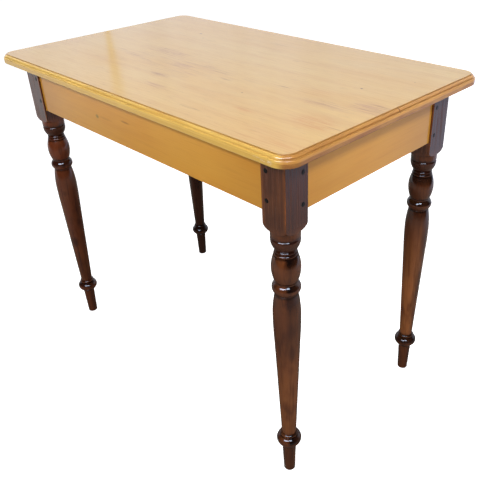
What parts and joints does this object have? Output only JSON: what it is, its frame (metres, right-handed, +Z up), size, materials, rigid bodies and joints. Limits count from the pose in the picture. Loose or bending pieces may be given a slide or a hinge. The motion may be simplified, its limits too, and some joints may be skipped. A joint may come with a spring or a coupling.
{
  "type": "tavern table",
  "caption": "Small rectangular tavern table: honey pine top with a moulded edge, plain pegged rails and dark turned legs on slender feet.",
  "frame": {"origin": "on the floor under the centre of the top", "axes": "+X along the table to its right end, +Y across it to the back, +Z up"},
  "size_m": [0.924, 0.549, 0.75],
  "materials": {
    "top_wood": "gloss varnish over honey pine",
    "rail_wood": "satin varnish over honey pine",
    "leg_wood": "gloss dark red-brown stain",
    "peg_wood": "dark stain",
    "inner_wood": "bare",
    "screw_steel": "dull"
  },
  "bodies": {
    "root": {"top_board_front": "top_wood", "top_board_back": "top_wood", "top_dowels": "inner_wood", "leg_front_left": "leg_wood", "leg_front_right": "leg_wood", "leg_back_left": "leg_wood", "leg_back_right": "leg_wood", "pegs_front_left": "peg_wood", "pegs_front_right": "peg_wood", "pegs_back_left": "peg_wood", "pegs_back_right": "peg_wood", "rail_front": "rail_wood", "rail_back": "rail_wood", "rail_left": "rail_wood", "rail_right": "rail_wood", "button_front_left": "inner_wood", "button_front_middle": "inner_wood", "button_front_right": "inner_wood", "button_back_left": "inner_wood", "button_back_middle": "inner_wood", "button_back_right": "inner_wood", "button_left_front": "inner_wood", "button_left_back": "inner_wood", "button_right_front": "inner_wood", "button_right_back": "inner_wood", "button_screws": "screw_steel"}
  },
  "joints": []
}
